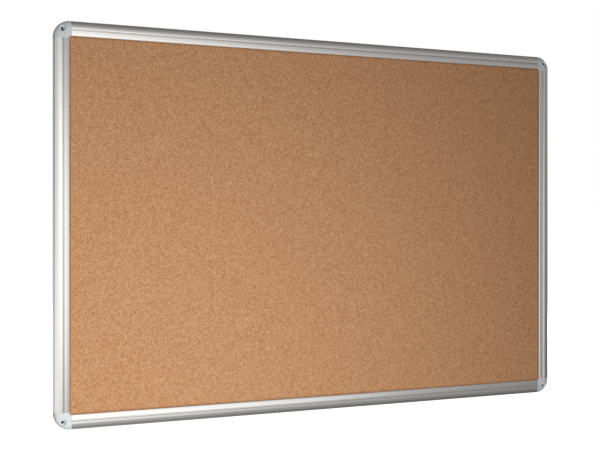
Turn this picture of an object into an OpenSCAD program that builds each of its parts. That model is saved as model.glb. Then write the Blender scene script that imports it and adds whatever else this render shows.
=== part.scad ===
// Framed cork bulletin board.
// A three-layer pinning panel sits in the channels of four extruded aluminium rails.
// Four moulded corners join the rails by spigots and take the wall screws.
// Origin: centre of the wall plane. +X is along the width, +Z is up, and the cork faces -Y.

/* [Board] */
// Overall width
board_w = 900; // [300:50:1800]
// Overall height
board_h = 600; // [300:50:1200]
// Depth from the wall to the front of the frame
frame_d = 16; // [14:0.5:20]

/* [Rails] */
// Width of a rail, from the outermost line to the edge of its lip
rail_w = 22.5; // [21:0.5:23]
// Wall thickness of the extrusion
wall = 1.1; // [0.9:0.1:1.3]
// Width of the rear flange behind the panel
rear_w = 19; // [16:0.5:20]

/* [Corners] */
// Radius of the outer corner
corner_r = 24; // [24:0.25:25]
// Length of a corner moulding along each side
corner_len = 25.5; // [25.5:0.5:28]
// Length of a spigot inside its rail
spigot_len = 28; // [20:1:40]
// Distance of a wall screw hole from both outer edges
hole_inset = 12; // [11.5:0.25:12.25]

/* [Panel] */
// Thickness of the cork sheet
cork_t = 2; // [1:0.5:3]
// Thickness of the rear liner
liner_t = 0.5; // [0.3:0.1:1]

/* [Hidden] */
$fn = 64;
eps = 0.01;

// A rail's section is drawn with u inwards from the outermost line and d away from the wall.
rise = 7;                      // from the outermost line to the crest
side_d = frame_d - rise;
side_r = 4.5;                  // tight stretch of the bead
crest_u = 12;                  // front line of the bead
crown_r = (pow(crest_u - side_r, 2) + rise * rise - side_r * side_r) / (2 * (rise - side_r));
crown_c = [crest_u, frame_d - crown_r];
side_c = [side_r, side_d];
join_a = atan2(side_c[1] - crown_c[1], side_c[0] - crown_c[0]);
tuck = 1.2;                    // how far the back edge is tucked in
tuck_r = (tuck * tuck + side_d * side_d) / (2 * tuck);
tuck_c = [tuck_r, side_d];
shoulder_r = 0.7;
groove_u = 12.9;               // outer wall of the groove at its floor
groove_w = 0.8;
groove_d = frame_d - 1.8;
lip_u = 14.3;                  // where the lip starts
lip_top = frame_d - 1;
lip_nose = 1;
lip_under = frame_d - 2.7;     // underside of the lip, just above the cork
flange_t = 1.2;
web_u = 13.2;                  // bottom of the panel channel
web_t = 1;
fit_gap = 0.1;                 // spigot to chamber
panel_gap = 0.05;              // panel to lip and to flange
edge_gap = 0.5;                // panel edge to web
clip = 8;                      // cut across each corner of the panel

// Wall screw hole: a clearance hole, and above it a recess with a flat seat for the screw's head.
hole_r = 2.1;
recess_r = 4.5;
seat_d = frame_d - 4.4;
hole_chamfer = 0.4;
boss_r = 6.2;
skin = 1.9;                    // wall of a corner moulding
pocket_a = 10;                 // angle left solid at each end of a corner's rear pocket

// Self-tapping screw that holds a spigot in its rail.
screw_r = 1.45;
head_r = 2.75;
head_t = 1.3;
screw_len = 8.5;
screw_gap = 0.05;
screw_u = 7;
screw_at = corner_len + 14;    // from the outer edge, along the rail
slot_l = 2.9;
slot_w = 0.6;
slot_d = 1;

function arc(c, r, from, to, n) =
    [for (i = [0:n]) let (a = from + (to - from) * i / n) c + r * [cos(a), sin(a)]];

// The bead from its crest round the outside to the height where it ends, inset by t.
function bead(t, end_d) =
    concat(
        arc(crown_c, crown_r - t, 90, join_a, 8),
        arc(side_c, side_r - t, join_a, 180, 8),
        arc(tuck_c, tuck_r - t, 180, 180 + asin((side_d - end_d) / (tuck_r - t)), 4)
    );

// The lip's nose, its top and the groove, ending at the shoulder beside the crest.
front =
    concat(
        [[rail_w, lip_under]],
        arc([rail_w - lip_nose, lip_top - lip_nose], lip_nose, 0, 90, 5),
        [[lip_u, lip_top], [groove_u + groove_w, groove_d], [groove_u, groove_d]],
        arc([crest_u, frame_d - shoulder_r], shoulder_r, 0, 80, 5)
    );

// The hollow of a rail, or with a gap the outline of the spigot that fills it.
function chamber(gap) =
    let (t = wall + gap, right = web_u - web_t - gap, top = bead(t, flange_t + gap))
    concat(
        [[right, top[0][1]]],
        [for (p = top) if (p[0] < right) p],
        [[right, flange_t + gap]]
    );

module rail_section() {
    difference() {
        polygon(concat(
            bead(0, 0),
            [[rear_w, 0], [rear_w, flange_t], [web_u, flange_t], [web_u, lip_under]],
            front
        ));
        polygon(chamber(0));
    }
}

module filled_section() {
    polygon(concat(bead(0, 0), [[rail_w, 0]], front));
}

// Stands a section up along +Y, as a rail on the left side of the board lies.
module along_y(length) {
    rotate([90, 0, 0]) linear_extrude(length, center = true) children();
}

// Turns what was drawn for the left or the lower left to another side, by quarter turns.
module quarter(turns) {
    half = turns % 2 == 0 ? [board_w / 2, board_h / 2] : [board_h / 2, board_w / 2];
    rotate([0, 0, 90 * turns]) translate([-half[0], -half[1], 0]) children();
}

// Lays the flat drawing against the wall, with the cork facing -Y.
module stand() {
    rotate([90, 0, 0]) children();
}

module screw_hole_cut(at) {
    translate([at[0], at[1], -eps]) {
        cylinder(h = screw_len + eps, r = screw_r + screw_gap);
        cylinder(h = head_t + eps, r1 = head_r + screw_gap, r2 = screw_r + screw_gap);
    }
}

module rail(length, turns) {
    half_len = (length - 2 * corner_len) / 2;
    color("silver") stand() quarter(turns) translate([0, length / 2, 0]) difference() {
        along_y(2 * half_len) rail_section();
        for (side = [-1, 1]) screw_hole_cut([screw_u, side * (length / 2 - screw_at)]);
    }
}

module panel_outline(gap) {
    w = board_w / 2 - web_u - edge_gap + gap;
    h = board_h / 2 - web_u - edge_gap + gap;
    polygon([
        for (s = [[1, 1], [-1, 1], [-1, -1], [1, -1]])
            let (near_side = [s[0] * w, s[1] * (h - clip)], near_end = [s[0] * (w - clip), s[1] * h])
            each s[0] * s[1] > 0 ? [near_side, near_end] : [near_end, near_side]
    ]);
}

module panel_layer(from, thick) {
    stand() translate([0, 0, from]) linear_extrude(thick) panel_outline(0);
}

liner_d = flange_t + panel_gap;
core_d = liner_d + liner_t;
cork_d = lip_under - panel_gap - cork_t;

module cork_sheet() {
    color([0.71, 0.52, 0.36]) panel_layer(cork_d, cork_t);
}

module softboard_core() {
    color([0.62, 0.53, 0.42]) panel_layer(core_d, cork_d - core_d);
}

module rear_liner() {
    color([0.66, 0.58, 0.47]) panel_layer(liner_d, liner_t);
}

// The corner's outside: the section turned about the corner's centre, with a straight end each way.
module corner_blank() {
    straight = corner_len - corner_r;
    turned = concat(bead(0, 0), [[rail_w, 0]], front);
    translate([corner_r, corner_r, 0]) rotate([0, 0, 180])
        rotate_extrude(angle = 90) polygon([for (p = turned) [corner_r - p[0], p[1]]]);
    for (other = [0, 1])
        mirror([other, -other, 0]) translate([0, corner_r + straight / 2, 0])
            along_y(straight) filled_section();
}

module spigots() {
    for (other = [0, 1])
        mirror([other, -other, 0]) difference() {
            translate([0, corner_len - eps + spigot_len / 2, 0])
                along_y(spigot_len) polygon(chamber(fit_gap));
            screw_hole_cut([screw_u, screw_at]);
        }
}

// The space behind a corner's front wall, open at the back, in two parts beside the boss.
module rear_pocket() {
    inner = chamber(skin - wall);
    left = min([for (p = inner) p[0]]) + tuck;
    top = [for (p = inner) if (p[1] > side_d) p];
    outline = concat(
        [for (p = top) [corner_r - max(p[0], left), p[1]]],
        [[corner_r - left, -1], [corner_r - inner[0][0], -1]]
    );
    difference() {
        translate([corner_r, corner_r, 0]) rotate([0, 0, 180 + pocket_a])
            rotate_extrude(angle = 90 - 2 * pocket_a) polygon(outline);
        translate([hole_inset, hole_inset, -2]) cylinder(h = frame_d, r = boss_r);
    }
}

module wall_screw_cut() {
    translate([hole_inset, hole_inset, 0]) {
        translate([0, 0, -eps]) cylinder(h = frame_d, r = hole_r);
        translate([0, 0, seat_d - hole_chamfer])
            cylinder(h = hole_chamfer + eps, r1 = hole_r, r2 = hole_r + hole_chamfer);
        translate([0, 0, seat_d]) cylinder(h = frame_d, r = recess_r);
    }
}

module corner(turns) {
    color([0.74, 0.76, 0.78]) stand() quarter(turns) {
        difference() {
            corner_blank();
            translate([board_w / 2, board_h / 2, flange_t])
                linear_extrude(lip_under - flange_t) panel_outline(edge_gap);
            translate([rear_w, rear_w, -eps]) cube([rail_w, rail_w, flange_t + 2 * eps]);
            rear_pocket();
            wall_screw_cut();
        }
        spigots();
    }
}

// Countersunk self-tapping screw with a cross recess, head flush with the back of the rail.
module self_tapper() {
    difference() {
        union() {
            cylinder(h = head_t, r1 = head_r, r2 = screw_r);
            cylinder(h = screw_len - 1.5, r = screw_r);
            translate([0, 0, screw_len - 1.5]) cylinder(h = 1.3, r1 = screw_r, r2 = 0.3);
        }
        for (a = [0, 90])
            rotate([0, 0, a]) translate([-slot_l / 2, -slot_w / 2, -eps]) cube([slot_l, slot_w, slot_d]);
    }
}

module screw_pair(turns) {
    color("gainsboro") stand() quarter(turns)
        for (at = [[screw_u, screw_at], [screw_at, screw_u]])
            translate([at[0], at[1], 0]) self_tapper();
}

cork_sheet();
softboard_core();
rear_liner();
rail(board_h, 0);  // left_rail
rail(board_w, 1);  // bottom_rail
rail(board_h, 2);  // right_rail
rail(board_w, 3);  // top_rail
corner(0);  // bottom_left_corner
corner(1);  // bottom_right_corner
corner(2);  // top_right_corner
corner(3);  // top_left_corner
screw_pair(0);  // bottom_left_screws
screw_pair(1);  // bottom_right_screws
screw_pair(2);  // top_right_screws
screw_pair(3);  // top_left_screws
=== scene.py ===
from math import asin, atan2, cos, pi, radians, sin

import bmesh
import bpy
from mathutils import Matrix, Vector


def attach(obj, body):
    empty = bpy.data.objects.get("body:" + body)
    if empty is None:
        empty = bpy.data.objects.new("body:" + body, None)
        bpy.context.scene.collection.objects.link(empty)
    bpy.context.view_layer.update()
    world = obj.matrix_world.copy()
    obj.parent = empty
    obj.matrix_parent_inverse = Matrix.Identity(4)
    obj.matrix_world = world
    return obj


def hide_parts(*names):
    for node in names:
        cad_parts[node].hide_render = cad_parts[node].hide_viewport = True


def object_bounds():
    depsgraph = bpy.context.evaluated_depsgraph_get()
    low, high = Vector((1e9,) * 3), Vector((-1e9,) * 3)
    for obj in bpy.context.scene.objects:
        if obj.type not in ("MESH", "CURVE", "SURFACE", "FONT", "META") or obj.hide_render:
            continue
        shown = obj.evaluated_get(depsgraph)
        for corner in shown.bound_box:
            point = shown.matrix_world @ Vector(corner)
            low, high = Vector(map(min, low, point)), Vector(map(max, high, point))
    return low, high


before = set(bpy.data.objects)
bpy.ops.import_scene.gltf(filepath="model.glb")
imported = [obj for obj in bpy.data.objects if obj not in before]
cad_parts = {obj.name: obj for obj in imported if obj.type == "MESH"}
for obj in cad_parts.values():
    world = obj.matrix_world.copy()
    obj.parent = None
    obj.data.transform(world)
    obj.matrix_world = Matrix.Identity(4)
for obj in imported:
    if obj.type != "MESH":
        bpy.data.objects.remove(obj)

mm = 0.001
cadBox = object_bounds()
boardLow, boardHigh = cadBox
boardWidth = (boardHigh.x - boardLow.x) / mm
boardHeight = (boardHigh.z - boardLow.z) / mm
frameDepth = (boardHigh.y - boardLow.y) / mm  # wall to the crest of the bead

# Sections and small parts are drawn flat in millimetres, in the lower left corner of the board:
# x and y run inwards from its outermost lines, and z runs from the wall to the front.


def linearColour(hexCode):
    channels = [int(hexCode[i:i + 2], 16) / 255 for i in (1, 3, 5)]
    linear = [c / 12.92 if c <= 0.04045 else ((c + 0.055) / 1.055) ** 2.4 for c in channels]
    return (*linear, 1.0)


def addNode(tree, kind, links=None, **settings):
    node = tree.nodes.new(kind)
    for name, value in settings.items():
        setattr(node, name, value)
    for name, value in (links or {}).items():
        if isinstance(value, bpy.types.NodeSocket):
            tree.links.new(value, node.inputs[name])
        else:
            node.inputs[name].default_value = value
    return node


def newMaterial(name):
    material = bpy.data.materials.new(name)
    material.use_nodes = True
    material.node_tree.nodes.clear()
    return material, material.node_tree


def finishMaterial(tree, links):
    shader = addNode(tree, "ShaderNodeBsdfPrincipled", links)
    addNode(tree, "ShaderNodeOutputMaterial", {"Surface": shader.outputs[0]})


def toneRamp(tree, factor, stops):
    ramp = addNode(tree, "ShaderNodeValToRGB", {"Fac": factor})
    elements = ramp.color_ramp.elements
    while len(elements) < len(stops):
        elements.new(1.0)
    for element, (place, hexCode) in zip(elements, stops):
        element.position = place
        element.color = linearColour(hexCode)
    return ramp.outputs["Color"]


def inMillimetres(tree, stretch=(1, 1, 1)):
    place = addNode(tree, "ShaderNodeTexCoord")
    scale = [s / mm for s in stretch]
    return addNode(tree, "ShaderNodeMapping", {"Vector": place.outputs["Object"], "Scale": scale}).outputs[0]


def addObject(name, mesh):
    made = bpy.data.objects.new(name, mesh)
    bpy.context.scene.collection.objects.link(made)
    return made


def bakeObject(source, name):
    shown = source.evaluated_get(bpy.context.evaluated_depsgraph_get())
    mesh = bpy.data.meshes.new_from_object(shown)
    bpy.data.objects.remove(source)
    shape = bmesh.new()
    shape.from_mesh(mesh)
    bmesh.ops.recalc_face_normals(shape, faces=shape.faces)
    shape.to_mesh(mesh)
    shape.free()
    return addObject(name, mesh)


def smoothByAngle(mesh, angle=radians(32)):
    for face in mesh.polygons:
        face.use_smooth = True
    mesh.set_sharp_from_angle(angle=angle)


standUp = Matrix.Rotation(radians(90), 4, "X") @ Matrix.Scale(mm, 4)


def placeAt(turns):
    half = (boardWidth / 2, boardHeight / 2) if turns % 2 == 0 else (boardHeight / 2, boardWidth / 2)
    shift = Matrix.Translation((-half[0], -half[1], 0))
    return standUp @ Matrix.Rotation(radians(90 * turns), 4, "Z") @ shift


def finishPiece(mesh, name, placement, material, node):
    placed = mesh.copy()
    placed.transform(placement)
    smoothByAngle(placed)
    placed.materials.clear()
    placed.materials.append(material)
    piece = addObject(name, placed)
    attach(piece, "root")
    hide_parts(node)
    return piece


def newTree(name, inputs):
    tree = bpy.data.node_groups.new(name, "GeometryNodeTree")
    tree.interface.new_socket(name="Geometry", in_out="INPUT", socket_type="NodeSocketGeometry")
    tree.interface.new_socket(name="Geometry", in_out="OUTPUT", socket_type="NodeSocketGeometry")
    for label, kind in inputs.items():
        tree.interface.new_socket(name=label, in_out="INPUT", socket_type="NodeSocket" + kind)
    return tree, addNode(tree, "NodeGroupInput").outputs


def endTree(tree, geometry, material):
    real = addNode(tree, "GeometryNodeRealizeInstances", {"Geometry": geometry})
    painted = addNode(tree, "GeometryNodeSetMaterial", {"Geometry": real.outputs[0], "Material": material})
    addNode(tree, "NodeGroupOutput", {0: painted.outputs[0]})
    return tree


def useTree(piece, tree, values):
    modifier = piece.modifiers.new(tree.name, "NODES")
    modifier.node_group = tree
    for item in tree.interface.items_tree:
        if item.in_out == "INPUT" and item.name in values:
            modifier[item.identifier] = values[item.name]


def buildExtrusionTree():
    tree, given = newTree("straightExtrusion", {"Length": "Float", "Material": "Material"})
    loops = addNode(tree, "GeometryNodeMeshToCurve", {"Mesh": given["Geometry"]})
    face = addNode(tree, "GeometryNodeFillCurve", {"Curve": loops.outputs[0]}, mode="NGONS")
    drawn = addNode(tree, "GeometryNodeExtrudeMesh", {
        "Mesh": face.outputs[0], "Offset Scale": given["Length"], "Individual": False})
    foot = addNode(tree, "GeometryNodeFlipFaces", {"Mesh": face.outputs[0]})
    both = addNode(tree, "GeometryNodeJoinGeometry", {0: drawn.outputs["Mesh"]})
    tree.links.new(foot.outputs[0], both.inputs[0])
    closed = addNode(tree, "GeometryNodeMergeByDistance", {"Geometry": both.outputs[0], "Distance": 0.001})
    return endTree(tree, closed.outputs[0], given["Material"])


def buildTurnedTree():
    tree, given = newTree("turnedCorner", {
        "Arm": "Float", "Radius": "Float", "Steps": "Int", "From": "Float", "To": "Float",
        "Material": "Material"})
    start = addNode(tree, "ShaderNodeCombineXYZ", {"Y": given["Arm"]})
    end = addNode(tree, "ShaderNodeCombineXYZ", {"X": given["Arm"]})
    line = addNode(tree, "GeometryNodeCurvePrimitiveLine", {
        "Start": start.outputs[0], "End": end.outputs[0]})
    bent = addNode(tree, "GeometryNodeResampleCurve", {"Curve": line.outputs[0], "Count": 3})
    index = addNode(tree, "GeometryNodeInputIndex")
    middle = addNode(tree, "FunctionNodeCompare", {2: index.outputs[0], 3: 1},
                     data_type="INT", operation="EQUAL")
    tip = addNode(tree, "ShaderNodeCombineXYZ")
    elbow = addNode(tree, "GeometryNodeSetPosition", {
        "Geometry": bent.outputs[0], "Selection": middle.outputs[0], "Position": tip.outputs[0]})
    rounded = addNode(tree, "GeometryNodeFilletCurve", {
        "Curve": elbow.outputs[0], "Count": given["Steps"], "Radius": given["Radius"]}, mode="POLY")
    level = addNode(tree, "GeometryNodeSetCurveNormal", {"Curve": rounded.outputs[0]}, mode="Z_UP")
    part = addNode(tree, "GeometryNodeTrimCurve", {
        "Curve": level.outputs[0], 2: given["From"], 3: given["To"]}, mode="FACTOR")
    section = addNode(tree, "GeometryNodeMeshToCurve", {"Mesh": given["Geometry"]})
    swept = addNode(tree, "GeometryNodeCurveToMesh", {
        "Curve": part.outputs[0], "Profile Curve": section.outputs[0], "Fill Caps": True})
    return endTree(tree, swept.outputs[0], given["Material"])


def buildScrewPairTree():
    tree, given = newTree("screwPair", {"Screw": "Object", "Seed": "Int", "Material": "Material"})
    screw = addNode(tree, "GeometryNodeObjectInfo", {"Object": given["Screw"]})
    spin = addNode(tree, "FunctionNodeRandomValue", {
        0: (0, 0, 0), 1: (0, 0, pi), "Seed": given["Seed"]}, data_type="FLOAT_VECTOR")
    pair = addNode(tree, "GeometryNodeInstanceOnPoints", {
        "Points": given["Geometry"], "Instance": screw.outputs["Geometry"], "Rotation": spin.outputs[0]})
    return endTree(tree, pair.outputs[0], given["Material"])


def buildGranuleTree():
    tree, given = newTree("granuleRelief", {
        "Face": "Float", "Granule": "Float", "Relief": "Float", "Material": "Material"})
    place = addNode(tree, "GeometryNodeInputPosition")
    pitch = addNode(tree, "ShaderNodeMath", {0: 1.0, 1: given["Granule"]}, operation="DIVIDE")
    grain = addNode(tree, "ShaderNodeTexVoronoi", {"Vector": place.outputs[0], "Scale": pitch.outputs[0]})
    heights = addNode(tree, "ShaderNodeSeparateXYZ", {0: grain.outputs["Color"]})
    drop = addNode(tree, "ShaderNodeMath", {0: heights.outputs[0], 1: given["Relief"]}, operation="MULTIPLY")
    down = addNode(tree, "ShaderNodeMath", {0: drop.outputs[0], 1: -1.0}, operation="MULTIPLY")
    offset = addNode(tree, "ShaderNodeCombineXYZ", {"Z": down.outputs[0]})
    split = addNode(tree, "ShaderNodeSeparateXYZ", {0: place.outputs[0]})
    onFace = addNode(tree, "FunctionNodeCompare", {0: split.outputs["Z"], 1: given["Face"]},
                     data_type="FLOAT", operation="GREATER_THAN")
    pressed = addNode(tree, "GeometryNodeSetPosition", {
        "Geometry": given["Geometry"], "Selection": onFace.outputs[0], "Offset": offset.outputs[0]})
    return endTree(tree, pressed.outputs[0], given["Material"])


extrusionTree = buildExtrusionTree()
turnedTree = buildTurnedTree()
screwPairTree = buildScrewPairTree()
granuleTree = buildGranuleTree()


def makeAluminium(name, lengthwise):
    # Extruded aluminium, etched and satin anodised: soft wide reflections,
    # with faint die lines that run along the length and break them up.
    material, tree = newMaterial(name)
    dieLinePitch = 0.4  # mm
    streak = 220.0  # mm, length over which a die line changes
    stretch = [1 / dieLinePitch] * 3
    stretch[lengthwise] = 1 / streak
    lines = addNode(tree, "ShaderNodeTexNoise", {
        "Vector": inMillimetres(tree, stretch), "Scale": 1.0, "Detail": 2.0, "Roughness": 0.6})
    bands = addNode(tree, "ShaderNodeTexNoise", {
        "Vector": inMillimetres(tree, [s * 0.16 for s in stretch]), "Scale": 1.0, "Detail": 1.0})
    colour = toneRamp(tree, bands.outputs[0], [(0.3, "#dedcd8"), (0.7, "#e8e6e2")])
    gloss = addNode(tree, "ShaderNodeMapRange", {
        "Value": bands.outputs[0], "From Min": 0.3, "From Max": 0.7, "To Min": 0.25, "To Max": 0.31})
    relief = addNode(tree, "ShaderNodeBump", {
        "Height": lines.outputs[0], "Strength": 0.35, "Distance": 0.008 * mm})
    finishMaterial(tree, {
        "Base Color": colour, "Metallic": 1.0, "Roughness": gloss.outputs[0], "Normal": relief.outputs[0]})
    return material


def makeCornerPlastic():
    # ABS, injection moulded in a spark-eroded tool: an even, pale blue-grey matte
    # with a fine pebbled skin that keeps highlights wide and soft. The colour inside the bore is darkened as
    # painted shade.
    material, tree = newMaterial("sparkErodedAbs")
    place = inMillimetres(tree)
    pebble = addNode(tree, "ShaderNodeTexNoise", {
        "Vector": place, "Scale": 1 / 0.45, "Detail": 3.0, "Roughness": 0.6})
    cloud = addNode(tree, "ShaderNodeTexNoise", {"Vector": place, "Scale": 1 / 14.0, "Detail": 2.0})
    colour = toneRamp(tree, cloud.outputs[0], [(0.3, "#d9dee1"), (0.7, "#e3e7e9")])
    inset = cornerSizes["holeInset"]
    hole = (boardWidth / 2 - inset, 0, boardHeight / 2 - inset)
    fromMiddle = addNode(tree, "ShaderNodeVectorMath", {0: place}, operation="ABSOLUTE")
    fromHole = addNode(tree, "ShaderNodeVectorMath", {
        0: fromMiddle.outputs[0], 1: hole}, operation="SUBTRACT")
    level = addNode(tree, "ShaderNodeVectorMath", {
        0: fromHole.outputs[0], 1: (1, 0, 1)}, operation="MULTIPLY")
    reach = addNode(tree, "ShaderNodeVectorMath", {0: level.outputs[0]}, operation="LENGTH")
    radius = cornerSizes["holeRadius"]
    # painted shade: the colour falls to 0.18 of itself inside the wall-screw bore
    boreShade = addNode(tree, "ShaderNodeMapRange", {
        "Value": reach.outputs["Value"], "From Min": radius + 0.1, "From Max": radius + 0.6,
        "To Min": 0.18, "To Max": 1.0})
    boreShaded = addNode(tree, "ShaderNodeVectorMath", {0: colour, "Scale": boreShade.outputs[0]}, operation="SCALE")
    gloss = addNode(tree, "ShaderNodeMapRange", {
        "Value": cloud.outputs[0], "From Min": 0.3, "From Max": 0.7, "To Min": 0.40, "To Max": 0.50})
    relief = addNode(tree, "ShaderNodeBump", {
        "Height": pebble.outputs[0], "Strength": 0.5, "Distance": 0.03 * mm})
    finishMaterial(tree, {
        "Base Color": boreShaded.outputs[0], "Roughness": gloss.outputs[0], "IOR": 1.54,
        "Normal": relief.outputs[0]})
    return material


def makeCork():
    # Pressed cork granules, sanded flat: each granule has its own tone, a few are dark bark,
    # and the binder between them is a little darker, so the face looks speckled and dry.
    # A painted shadow darkens a narrow band along the frame's lip.
    material, tree = newMaterial("sandedPressedCork")
    granule = 1.7  # mm
    waver = 1.6  # mm, how far a granule's outline wanders
    clump = 4.2  # mm
    place = inMillimetres(tree)
    wander = addNode(tree, "ShaderNodeTexNoise", {"Vector": place, "Scale": 1 / 1.9, "Detail": 2.0})
    wavered = addNode(tree, "ShaderNodeVectorMath", {
        0: wander.outputs["Color"], 1: [waver] * 3, 2: place}, operation="MULTIPLY_ADD")
    cells = addNode(tree, "ShaderNodeTexVoronoi", {"Vector": wavered.outputs[0], "Scale": 1 / granule})
    seams = addNode(tree, "ShaderNodeTexVoronoi", {
        "Vector": wavered.outputs[0], "Scale": 1 / granule}, feature="DISTANCE_TO_EDGE")
    tones = addNode(tree, "ShaderNodeSeparateColor", {"Color": cells.outputs["Color"]})
    clumps = addNode(tree, "ShaderNodeTexNoise", {
        "Vector": place, "Scale": 1 / clump, "Detail": 3.0, "Roughness": 0.7})
    mixed = addNode(tree, "ShaderNodeMath", {0: tones.outputs[0], 1: 0.80}, operation="MULTIPLY")
    clumped = addNode(tree, "ShaderNodeMath", {
        0: clumps.outputs[0], 1: 0.45, 2: mixed.outputs[0]}, operation="MULTIPLY_ADD")
    shifted = addNode(tree, "ShaderNodeMath", {0: clumped.outputs[0], 1: 0.12}, operation="SUBTRACT")
    colour = toneRamp(tree, shifted.outputs[0], [
        (0.08, "#b88055"), (0.30, "#c68f65"), (0.52, "#cf996f"), (0.78, "#d6a378"), (0.97, "#deb087")])
    seamShade = addNode(tree, "ShaderNodeMapRange", {
        "Value": seams.outputs["Distance"], "From Min": 0.0, "From Max": 0.12,
        "To Min": 0.88, "To Max": 1.0})
    bark = addNode(tree, "ShaderNodeMapRange", {
        "Value": tones.outputs[1], "From Min": 0.96, "From Max": 0.98, "To Min": 1.0, "To Max": 0.76})
    lip = (boardWidth / 2 - railSizes["width"], 0, boardHeight / 2 - railSizes["width"])
    fromMiddle = addNode(tree, "ShaderNodeVectorMath", {0: place}, operation="ABSOLUTE")
    past = addNode(tree, "ShaderNodeVectorMath", {0: fromMiddle.outputs[0], 1: lip}, operation="SUBTRACT")
    sides = addNode(tree, "ShaderNodeSeparateXYZ", {0: past.outputs[0]})
    nearest = addNode(tree, "ShaderNodeMath", {
        0: sides.outputs["X"], 1: sides.outputs["Z"]}, operation="MAXIMUM")
    # painted shadow: the cork falls to 0.70 of its colour within 0.5 to 3.5 mm of the lip's inner edge
    lipShadow = addNode(tree, "ShaderNodeMapRange", {
        "Value": nearest.outputs[0], "From Min": -3.5, "From Max": -0.5, "To Min": 1.0, "To Max": 0.70})
    spots = addNode(tree, "ShaderNodeMath", {
        0: seamShade.outputs[0], 1: bark.outputs[0]}, operation="MULTIPLY")
    shade = addNode(tree, "ShaderNodeMath", {0: spots.outputs[0], 1: lipShadow.outputs[0]}, operation="MULTIPLY")
    shaded = addNode(tree, "ShaderNodeVectorMath", {0: colour, "Scale": shade.outputs[0]}, operation="SCALE")
    pores = addNode(tree, "ShaderNodeTexNoise", {"Vector": place, "Scale": 1 / 0.5, "Detail": 3.0})
    face = addNode(tree, "ShaderNodeMath", {
        0: seamShade.outputs[0], 1: 0.6, 2: pores.outputs[0]}, operation="MULTIPLY_ADD")
    relief = addNode(tree, "ShaderNodeBump", {
        "Height": face.outputs[0], "Strength": 0.6, "Distance": 0.12 * mm})
    finishMaterial(tree, {
        "Base Color": shaded.outputs[0], "Roughness": 0.88, "Specular IOR Level": 0.25,
        "Normal": relief.outputs[0]})
    return material


def makeBoard(name, fibreLength, stops, bumpDepth):
    # Board made of matted wood fibre: short pale and dark fibres with no direction, fully matt.
    material, tree = newMaterial(name)
    place = inMillimetres(tree)
    swirl = addNode(tree, "ShaderNodeTexNoise", {
        "Vector": place, "Scale": 1 / (fibreLength * 3), "Detail": 3.0})
    bent = addNode(tree, "ShaderNodeVectorMath", {
        0: swirl.outputs["Color"], 1: [fibreLength * 4] * 3, 2: place}, operation="MULTIPLY_ADD")
    squeezed = addNode(tree, "ShaderNodeVectorMath", {
        0: bent.outputs[0], 1: (0.3, 1.0, 1.4)}, operation="MULTIPLY")
    fibres = addNode(tree, "ShaderNodeTexNoise", {
        "Vector": squeezed.outputs[0], "Scale": 1 / fibreLength, "Detail": 5.0, "Roughness": 0.7})
    relief = addNode(tree, "ShaderNodeBump", {
        "Height": fibres.outputs[0], "Strength": 0.5, "Distance": bumpDepth * mm})
    finishMaterial(tree, {
        "Base Color": toneRamp(tree, fibres.outputs[0], stops), "Roughness": 0.92, "Specular IOR Level": 0.2,
        "Normal": relief.outputs[0]})
    return material


def makeZincSteel():
    # Steel, bright zinc plated: a cool grey metal with slightly cloudy reflections.
    material, tree = newMaterial("brightZincSteel")
    cloud = addNode(tree, "ShaderNodeTexNoise", {
        "Vector": inMillimetres(tree), "Scale": 1 / 1.2, "Detail": 4.0})
    colour = toneRamp(tree, cloud.outputs[0], [(0.3, "#b9babb"), (0.7, "#cfd0cd")])
    gloss = addNode(tree, "ShaderNodeMapRange", {"Value": cloud.outputs[0], "To Min": 0.22, "To Max": 0.42})
    finishMaterial(tree, {"Base Color": colour, "Metallic": 1.0, "Roughness": gloss.outputs[0]})
    return material


levelAluminium = makeAluminium("satinAnodisedAluminiumLevel", 0)
uprightAluminium = makeAluminium("satinAnodisedAluminiumUpright", 2)
softboard = makeBoard("mattedSoftboard", 1.2, [(0.3, "#8d7452"), (0.5, "#a98d66"), (0.7, "#c4a983")], 0.2)
kraftLiner = makeBoard("greyKraftLiner", 0.8, [(0.3, "#8f7d66"), (0.5, "#a5937a"), (0.72, "#b9a88f")], 0.05)
zincSteel = makeZincSteel()
print("materials ready")


railSizes = {
    "width": 22.5,
    "rise": 7.0,  # outermost line to crest
    "sideRadius": 4.5,
    "crest": 12.0,
    "tuck": 1.2,  # how far the back edge is tucked in
    "shoulderRadius": 0.7,
    "groove": (12.9, 13.7, 1.8),  # from, to, depth below the crest
    "lip": (14.3, 1.0),  # from, drop below the crest
    "nose": 1.0,
    "lipUnder": 2.7,
    "wall": 1.1,
    "flange": (19.0, 1.2),  # width and thickness of the rear flange
    "channel": (13.2, 1.0),  # bottom of the panel's channel and thickness of its web
    "edgeRadius": 0.14,
}
lipUnder = frameDepth - railSizes["lipUnder"]
flangeWidth, flangeThick = railSizes["flange"]
channelAt, webThick = railSizes["channel"]


def arcPoints(centre, radius, start, end, steps):
    turns = [start + (end - start) * i / steps for i in range(steps + 1)]
    return [(centre[0] + radius * cos(a), centre[1] + radius * sin(a)) for a in turns]


def beadOutline(inset, bottom):
    s = railSizes
    reach = s["crest"] - s["sideRadius"]
    side = frameDepth - s["rise"]
    crown = (reach ** 2 + s["rise"] ** 2 - s["sideRadius"] ** 2) / (2 * (s["rise"] - s["sideRadius"]))
    crownAt = (s["crest"], frameDepth - crown)
    sideAt = (s["sideRadius"], side)
    join = atan2(side - crownAt[1], sideAt[0] - crownAt[0])
    tuckRadius = (s["tuck"] ** 2 + side ** 2) / (2 * s["tuck"])
    tuckEnd = pi + asin((side - bottom) / (tuckRadius - inset))
    crownArc = arcPoints(crownAt, crown - inset, pi / 2, join, 16)
    sideArc = arcPoints(sideAt, s["sideRadius"] - inset, join, pi, 16)
    tuckArc = arcPoints((tuckRadius, side), tuckRadius - inset, pi, tuckEnd, 6)
    return crownArc + sideArc[1:] + tuckArc[1:]


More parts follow.
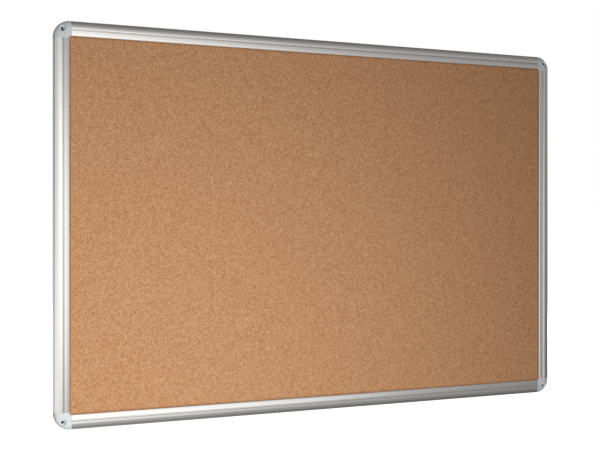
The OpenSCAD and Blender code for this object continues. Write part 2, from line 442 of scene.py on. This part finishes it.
def lipOutline():
    s = railSizes
    lipFrom, drop = s["lip"]
    grooveFrom, grooveTo, depth = s["groove"]
    nose = s["nose"]
    noseArc = arcPoints((s["width"] - nose, frameDepth - drop - nose), nose, 0, pi / 2, 8)
    shoulderRadius = s["shoulderRadius"]
    shoulder = arcPoints((s["crest"], frameDepth - shoulderRadius), shoulderRadius, 0, radians(80), 6)
    groove = [(lipFrom, frameDepth - drop), (grooveTo, frameDepth - depth), (grooveFrom, frameDepth - depth)]
    return [(s["width"], lipUnder)] + noseArc + groove + shoulder


def chamberOutline(gap):
    right = channelAt - webThick - gap
    bead = beadOutline(railSizes["wall"] + gap, flangeThick + gap)
    kept = [p for p in bead if p[0] < right]
    return [(right, bead[0][1])] + kept + [(right, flangeThick + gap)]


def railOutline():
    back = [(flangeWidth, 0), (flangeWidth, flangeThick), (channelAt, flangeThick), (channelAt, lipUnder)]
    return beadOutline(0, 0) + back + lipOutline()


def loopMesh(name, *loops):
    points, edges = [], []
    for loop in loops:
        first = len(points)
        points += [(x, y, 0) for x, y in loop]
        edges += [(first + i, first + (i + 1) % len(loop)) for i in range(len(loop))]
    mesh = bpy.data.meshes.new(name)
    mesh.from_pydata(points, edges, [])
    return mesh


def extrude(name, length, *loops):
    solid = addObject(name, loopMesh(name, *loops))
    useTree(solid, extrusionTree, {"Length": length})
    return bakeObject(solid, name)


def sweepRound(name, outline, arm, start=0.0, end=1.0):
    solid = addObject(name, loopMesh(name, [(-x, -y) for x, y in outline]))
    useTree(solid, turnedTree, {
        "Arm": arm, "Radius": cornerSizes["radius"], "Steps": 28, "From": start, "To": end})
    return bakeObject(solid, name)


def latheSolid(name, outline, at, steps=48):
    shape = bmesh.new()
    rings = []
    for radius, height in outline:
        turn = [2 * pi * i / steps for i in range(steps)]
        ring = [(at[0] + radius * cos(a), at[1] + radius * sin(a), height) for a in turn]
        rings.append([shape.verts.new(p) for p in ring])
    for lower, upper in zip(rings, rings[1:]):
        for i in range(steps):
            j = (i + 1) % steps
            shape.faces.new((lower[i], lower[j], upper[j], upper[i]))
    shape.faces.new(rings[0])
    shape.faces.new(rings[-1])
    bmesh.ops.recalc_face_normals(shape, faces=shape.faces)
    mesh = bpy.data.meshes.new(name)
    shape.to_mesh(mesh)
    shape.free()
    return addObject(name, mesh)


def combine(piece, operation, others):
    for other in others:
        modifier = piece.modifiers.new(other.name, "BOOLEAN")
        modifier.operation = operation
        modifier.solver = "EXACT"
        modifier.object = other


def softenEdges(piece, radius, limit=38):
    modifier = piece.modifiers.new("softEdges", "BEVEL")
    modifier.width = radius
    modifier.segments = 2
    modifier.limit_method = "ANGLE"
    modifier.angle_limit = radians(limit)


def removeAll(objects):
    for old in objects:
        bpy.data.objects.remove(old)


screwSizes = {
    "shankRadius": 1.45,
    "coreRadius": 1.1,
    "threadPitch": 1.1,
    "headRadius": 2.75,
    "headThick": 1.3,
    "length": 8.3,
    "across": 7.0,  # from the rail's outermost line
    "along": 39.5,  # from the end of the rail's side
    "recess": (2.9, 0.6, 1.0),  # length, width and depth of the cross
    "plainNeck": 0.3,  # no thread just under the head
    "tipLength": 1.2,
    "tipRadius": 0.15,
    "holeGap": 0.05,
}


def screwHoleCutter(name, at):
    s = screwSizes
    hole = s["shankRadius"] + s["holeGap"]
    sink = s["headRadius"] + s["holeGap"]
    return latheSolid(name, [(sink, -1), (sink, 0), (hole, s["headThick"]), (hole, s["length"] + 0.2)], at)


def threadRadius(height, angle):
    s = screwSizes
    if not s["headThick"] + s["plainNeck"] < height < s["length"] - s["tipLength"]:
        return s["coreRadius"] if height > s["headThick"] else s["shankRadius"]
    phase = (height / s["threadPitch"] - angle / (2 * pi)) % 1
    return s["coreRadius"] + (s["shankRadius"] - s["coreRadius"]) * max(0.0, 1 - abs(phase - 0.5) * 3)


def makeScrew():
    s = screwSizes
    columns = 28
    rowGap = 0.11
    rows = [(0.0, s["headRadius"] - 0.12), (0.1, s["headRadius"]), (s["headThick"], s["shankRadius"])]
    shape = bmesh.new()
    rings = []
    threadRows = int((s["length"] - s["tipLength"] - s["headThick"]) / rowGap)
    heights = [s["headThick"] + rowGap * (i + 1) for i in range(threadRows)]
    turns = [2 * pi * i / columns for i in range(columns)]
    for height, radius in rows:
        rings.append([(radius * cos(a), radius * sin(a), height) for a in turns])
    for height in heights:
        spoke = [threadRadius(height, a) for a in turns]
        rings.append([(r * cos(a), r * sin(a), height) for r, a in zip(spoke, turns)])
    rings.append([(s["tipRadius"] * cos(a), s["tipRadius"] * sin(a), s["length"]) for a in turns])
    made = [[shape.verts.new(p) for p in ring] for ring in rings]
    for lower, upper in zip(made, made[1:]):
        for i in range(columns):
            j = (i + 1) % columns
            shape.faces.new((lower[i], lower[j], upper[j], upper[i]))
    shape.faces.new(made[0])
    shape.faces.new(made[-1])
    bmesh.ops.recalc_face_normals(shape, faces=shape.faces)
    mesh = bpy.data.meshes.new("selfTapper")
    shape.to_mesh(mesh)
    shape.free()
    screw = addObject("selfTapper", mesh)
    long, wide, deep = s["recess"]
    bars = []
    for turn in (0, 1):
        half = (long / 2, wide / 2) if turn == 0 else (wide / 2, long / 2)
        corners = [(half[0], half[1]), (-half[0], half[1]), (-half[0], -half[1]), (half[0], -half[1])]
        bar = extrude("crossBar%d" % turn, deep + 1, corners)
        bar.data.transform(Matrix.Translation((0, 0, -1)))
        bars.append(bar)
    combine(screw, "DIFFERENCE", bars)
    finished = bakeObject(screw, "selfTapper")
    removeAll(bars)
    return finished


screwSpots = [(screwSizes["across"], screwSizes["along"]), (screwSizes["along"], screwSizes["across"])]
cornerPlaces = {"bottom_left": 0, "bottom_right": 1, "top_right": 2, "top_left": 3}
screwShape = makeScrew()
for corner, turns in cornerPlaces.items():
    spots = bpy.data.meshes.new("spots")
    spots.from_pydata([(x, y, 0) for x, y in screwSpots], [], [])
    pair = addObject("spots", spots)
    useTree(pair, screwPairTree, {"Screw": screwShape, "Seed": 3 + turns, "Material": zincSteel})
    baked = bakeObject(pair, "pair")
    finishPiece(baked.data, corner + "_self_tappers", placeAt(turns), zincSteel,
                corner + "_screws")
    bpy.data.objects.remove(baked)
bpy.data.objects.remove(screwShape)
print("self-tapping screws made")


cornerSizes = {
    "radius": 24.0,
    "length": 25.5,
    "jointGap": 0.05,  # half of the fine line where a rail meets the corner
    "spigotLength": 28.0,
    "spigotGap": 0.1,
    "holeInset": 12.0,
    "holeRadius": 2.1,
    "recessRadius": 4.5,
    "recessDepth": 4.4,  # below the crest
    "holeChamfer": 0.4,
    "bossRadius": 6.2,
    "skin": 1.9,
    "panelClip": 8.0,
    "rearHollow": (0.14, 0.86),  # from and to, as shares of the way round
    "edgeRadius": 0.2,
}


def makeCorner():
    s = cornerSizes
    arm = s["length"] - s["jointGap"]
    far = s["length"] + 60
    outline = beadOutline(0, 0) + [(railSizes["width"], 0)] + lipOutline()
    body = sweepRound("cornerBody", outline, arm)
    at = (s["holeInset"], s["holeInset"])
    seat = frameDepth - s["recessDepth"]
    drilled = latheSolid("wallScrewHole", [
        (s["holeRadius"], -1), (s["holeRadius"], seat - s["holeChamfer"]),
        (s["holeRadius"] + s["holeChamfer"], seat), (s["recessRadius"], seat),
        (s["recessRadius"], frameDepth + 1)], at, 64)
    edge, clip = channelAt, channelAt + s["panelClip"]
    pocket = extrude("panelPocket", lipUnder - flangeThick, [
        (edge, clip), (clip, edge), (far, edge), (far, far), (edge, far)])
    pocket.data.transform(Matrix.Translation((0, 0, flangeThick)))
    step = extrude("flangeStep", flangeThick + 2, [
        (flangeWidth, flangeWidth), (far, flangeWidth), (far, far), (flangeWidth, far)])
    step.data.transform(Matrix.Translation((0, 0, -1)))
    inner = beadOutline(s["skin"], flangeThick)
    right = channelAt - webThick - (s["skin"] - railSizes["wall"])
    left = s["skin"] + railSizes["tuck"]
    roof = [(max(x, left), y) for x, y in inner if x < right and y > frameDepth - railSizes["rise"]]
    hollowOutline = [(right, inner[0][1])] + roof + [(left, -1), (right, -1)]
    hollow = sweepRound("rearHollow", hollowOutline, arm, *s["rearHollow"])
    boss = latheSolid("boss", [(s["bossRadius"], -2), (s["bossRadius"], frameDepth + 1)], at)
    combine(hollow, "DIFFERENCE", [boss])
    cutters = [pocket, step, hollow, drilled]
    combine(body, "DIFFERENCE", cutters)
    shell = bakeObject(body, "cornerShell")
    removeAll(cutters + [boss])
    spigots = []
    for turn in (0, 1):
        spigot = extrude("spigot%d" % turn, s["spigotLength"] + 1, chamberOutline(s["spigotGap"]))
        upright = Matrix.Translation((0, arm + s["spigotLength"], 0)) @ Matrix.Rotation(radians(90), 4, "X")
        spigot.data.transform(upright)
        if turn == 1:
            spigot.data.transform(Matrix(((0, 1, 0, 0), (1, 0, 0, 0), (0, 0, 1, 0), (0, 0, 0, 1))))
            spigot.data.flip_normals()
        spigots.append(spigot)
    holes = [screwHoleCutter("spigotHole%d" % i, spot) for i, spot in enumerate(screwSpots)]
    combine(shell, "UNION", spigots)
    combine(shell, "DIFFERENCE", holes)
    softenEdges(shell, s["edgeRadius"])
    whole = bakeObject(shell, "corner")
    removeAll(spigots + holes)
    return whole


cornerPlastic = makeCornerPlastic()
cornerShape = makeCorner()
for corner, turns in cornerPlaces.items():
    name = corner + "_moulding"
    finishPiece(cornerShape.data, name, placeAt(turns), cornerPlastic, corner + "_corner")
bpy.data.objects.remove(cornerShape)
print("moulded corners made")


def makeRail(side, turns):
    level = turns % 2 == 1
    full = boardWidth if level else boardHeight
    length = full - 2 * (cornerSizes["length"] + cornerSizes["jointGap"])
    rail = extrude("railLength", length, railOutline(), chamberOutline(0))
    upright = Matrix.Translation((0, (full + length) / 2, 0)) @ Matrix.Rotation(radians(90), 4, "X")
    rail.data.transform(upright)
    across, along = screwSizes["across"], screwSizes["along"]
    holes = [screwHoleCutter("railHole%d" % i, (across, y)) for i, y in enumerate((along, full - along))]
    combine(rail, "DIFFERENCE", holes)
    softenEdges(rail, railSizes["edgeRadius"])
    whole = bakeObject(rail, "rail")
    removeAll(holes)
    material = levelAluminium if level else uprightAluminium
    finishPiece(whole.data, side + "_extrusion", placeAt(turns), material,
                side + "_rail")
    bpy.data.objects.remove(whole)


for side, turns in {"left": 0, "bottom": 1, "right": 2, "top": 3}.items():
    makeRail(side, turns)
print("rails made")


corkSizes = {
    "thick": 2.0,
    "edgeGap": 0.5,  # panel edge to the bottom of its channel
    "faceGap": 0.05,  # cork to the underside of the lip
    "meshPitch": 3.0,
    "granule": 2.6,
    "relief": 0.12,
}


def makeCorkSheet():
    s = corkSizes
    width = boardWidth - 2 * (channelAt + s["edgeGap"])
    height = boardHeight - 2 * (channelAt + s["edgeGap"])
    face = lipUnder - s["faceGap"]
    shape = bmesh.new()
    columns = round(width / s["meshPitch"])
    rows = round(height / s["meshPitch"])
    spread = Matrix.Diagonal((width, height, 1, 1))
    bmesh.ops.create_grid(shape, x_segments=columns, y_segments=rows, size=0.5, matrix=spread)
    clip = cornerSizes["panelClip"]
    for x in (-1, 1):
        for y in (-1, 1):
            corner = Vector((x * (width - clip) / 2, y * (height - clip) / 2, 0))
            everything = shape.verts[:] + shape.edges[:] + shape.faces[:]
            bmesh.ops.bisect_plane(
                shape, geom=everything, plane_co=corner, plane_no=(x, y, 0), clear_outer=True)
    rim = [e for e in shape.edges if e.is_boundary]
    sides = bmesh.ops.extrude_edge_only(shape, edges=rim)["geom"]
    lower = [v for v in sides if isinstance(v, bmesh.types.BMVert)]
    bmesh.ops.translate(shape, verts=lower, vec=(0, 0, -s["thick"]))
    centre = shape.verts.new((0, 0, -s["thick"]))
    for edge in [e for e in sides if isinstance(e, bmesh.types.BMEdge) and e.is_boundary]:
        shape.faces.new((edge.verts[0], edge.verts[1], centre))
    bmesh.ops.translate(shape, verts=shape.verts, vec=(0, 0, face))
    bmesh.ops.recalc_face_normals(shape, faces=shape.faces)
    mesh = bpy.data.meshes.new("corkSheet")
    shape.to_mesh(mesh)
    shape.free()
    sheet = addObject("corkSheet", mesh)
    useTree(sheet, granuleTree, {
        "Face": face - 0.5, "Granule": s["granule"], "Relief": s["relief"], "Material": corkFace})
    pressed = bakeObject(sheet, "pressedSheet")
    finishPiece(pressed.data, "cork_face", standUp, corkFace, "cork_sheet")
    bpy.data.objects.remove(pressed)


corkFace = makeCork()
makeCorkSheet()
backLayers = [("softboard_core", softboard, "softboard"), ("rear_liner", kraftLiner, "kraft_board")]
for nodeName, material, slot in backLayers:
    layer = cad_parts[nodeName]
    layer.data.materials.clear()
    layer.data.materials.append(material)
print("panel made")


studio = {
    "floorSize": 60.0,
    "floorGlow": 0.93,
    "ambient": 0.12,
    "surround": 0.01,
    "keyAt": (-0.36, -1.05, -0.29),
    "keyAim": (-0.54, 0.0, -0.40),
    "keySize": (0.9, 0.6),
    "keyPower": 11.5,
    "rearAt": (0.8, 1.8, 1.0),
    "rearAim": (0.0, 0.0, 0.0),
    "rearSize": (1.6, 1.2),
    "rearPower": 40.0,
}
frontGlow = {
    "turn": 3,  # degrees right of square-on
    "height": -6,  # degrees above level
    "full": 12.0,  # degrees from its middle to where it starts to fade
    "gone": 29.0,
    "brightness": 0.58,
}
surroundGlows = [  # degrees right of square-on, degrees above level, tightness, brightness
    (-39, -40, 4.3, 1.10),
    (115, 14, 38.0, 0.50),
    (-144, -48, 5.5, 0.88),
    (-15, 53, 1.6, 0.50),
    (150, 8, 12.0, 0.50),
    (-13, 9, 40.0, 0.50),
]
steepShade = {  # overhead and underfoot the surround is dimmer
    "from": 0.3,  # vertical part of the direction
    "to": 0.9,
    "share": 0.42,
}


def makeFloor():
    # Matt white sweep that runs into the background.
    half = studio["floorSize"] / 2
    mesh = bpy.data.meshes.new("floor")
    ends = [(-half, -half, 0), (half, -half, 0), (half, half, 0), (-half, half, 0)]
    mesh.from_pydata(ends, [], [(0, 1, 2, 3)])
    mesh.transform(Matrix.Translation((0, 0, boardLow.z)))
    material, tree = newMaterial("mattWhiteSweep")
    finishMaterial(tree, {
        "Base Color": linearColour("#f4f4f4"), "Roughness": 1.0, "Specular IOR Level": 0.0,
        "Emission Color": linearColour("#ffffff"), "Emission Strength": studio["floorGlow"]})
    mesh.materials.append(material)
    floor = addObject("floor", mesh)
    floor.visible_shadow = False  # the low softbox reaches below it
    floor.visible_diffuse = False  # the surround lights the board from below instead
    floor.visible_glossy = False


def lookAlong(turn, height):
    a, e = radians(turn), radians(height)
    return (sin(a) * cos(e), -cos(a) * cos(e), sin(e))


def makeWorld():
    # Plain white to the eye. The metal sees a dim studio with a few soft glows,
    # brightest in front and low on the left.
    world = bpy.data.worlds.new("paleStudio")
    bpy.context.scene.world = world
    world.use_nodes = True
    tree = world.node_tree
    tree.nodes.clear()
    place = addNode(tree, "ShaderNodeTexCoord")
    front = lookAlong(frontGlow["turn"], frontGlow["height"])
    near = addNode(tree, "ShaderNodeVectorMath", {
        0: place.outputs["Generated"], 1: front}, operation="DOT_PRODUCT")
    total = addNode(tree, "ShaderNodeMapRange", {
        "Value": near.outputs["Value"],
        "From Min": cos(radians(frontGlow["gone"])), "From Max": cos(radians(frontGlow["full"])),
        "To Min": studio["surround"], "To Max": frontGlow["brightness"]}, interpolation_type="SMOOTHSTEP")
    for turn, height, tightness, brightness in surroundGlows:
        near = addNode(tree, "ShaderNodeVectorMath", {
            0: place.outputs["Generated"], 1: lookAlong(turn, height)}, operation="DOT_PRODUCT")
        share = addNode(tree, "ShaderNodeMapRange", {"Value": near.outputs["Value"], "From Min": -1.0})
        soft = addNode(tree, "ShaderNodeMath", {0: share.outputs[0], 1: tightness}, operation="POWER")
        total = addNode(tree, "ShaderNodeMath", {
            0: soft.outputs[0], 1: brightness, 2: total.outputs[0]}, operation="MULTIPLY_ADD")
    upDown = addNode(tree, "ShaderNodeSeparateXYZ", {0: place.outputs["Generated"]})
    steep = addNode(tree, "ShaderNodeMath", {0: upDown.outputs["Z"]}, operation="ABSOLUTE")
    dimmer = addNode(tree, "ShaderNodeMapRange", {
        "Value": steep.outputs[0], "From Min": steepShade["from"], "From Max": steepShade["to"],
        "To Min": 1.0, "To Max": steepShade["share"]}, interpolation_type="SMOOTHSTEP")
    seen = addNode(tree, "ShaderNodeMath", {0: total.outputs[0], 1: dimmer.outputs[0]}, operation="MULTIPLY")
    white = (1, 1, 1, 1)
    surround = addNode(tree, "ShaderNodeBackground", {"Color": white, "Strength": seen.outputs[0]})
    ambient = addNode(tree, "ShaderNodeBackground", {"Color": white, "Strength": studio["ambient"]})
    backdrop = addNode(tree, "ShaderNodeBackground", {"Color": white, "Strength": 1.0})
    path = addNode(tree, "ShaderNodeLightPath")
    lit = addNode(tree, "ShaderNodeMixShader", {
        0: path.outputs["Is Glossy Ray"], 1: ambient.outputs[0], 2: surround.outputs[0]})
    both = addNode(tree, "ShaderNodeMixShader", {
        0: path.outputs["Is Camera Ray"], 1: lit.outputs[0], 2: backdrop.outputs[0]})
    addNode(tree, "ShaderNodeOutputWorld", {"Surface": both.outputs[0]})


def makeSoftbox(name, side):
    light = bpy.data.lights.new(name, "AREA")
    light.shape = "RECTANGLE"
    light.size, light.size_y = studio[side + "Size"]
    light.energy = studio[side + "Power"]
    lamp = bpy.data.objects.new(name, light)
    bpy.context.scene.collection.objects.link(lamp)
    lamp.location = studio[side + "At"]
    lamp.rotation_euler = (Vector(studio[side + "Aim"]) - lamp.location).to_track_quat("-Z", "Y").to_euler()
    lamp.visible_camera = False
    lamp.visible_glossy = False  # the metal takes its reflections from the surround


cameraSettings = {
    "lens": 71.38,
    "sideways": -0.9082,  # from the board's middle
    "away": 1.7062,  # from the crest of the frame
    "up": 0.0063,
    "turn": 26.675,  # degrees to the right of square-on
    "tilt": -0.186,
}


def makeCamera():
    s = cameraSettings
    camera = bpy.data.cameras.new("camera")
    camera.lens = s["lens"]
    camera.clip_start = 0.05
    stand = bpy.data.objects.new("camera", camera)
    bpy.context.scene.collection.objects.link(stand)
    middle = (boardLow + boardHigh) / 2
    stand.location = (middle.x + s["sideways"], boardLow.y - s["away"], middle.z + s["up"])
    stand.rotation_euler = (radians(90 + s["tilt"]), 0, radians(-s["turn"]))
    bpy.context.scene.camera = stand


makeFloor()
makeWorld()
makeSoftbox("keySoftbox", "key")
makeSoftbox("rearSoftbox", "rear")
makeCamera()
bpy.context.scene.view_settings.view_transform = "Standard"
print("studio ready")
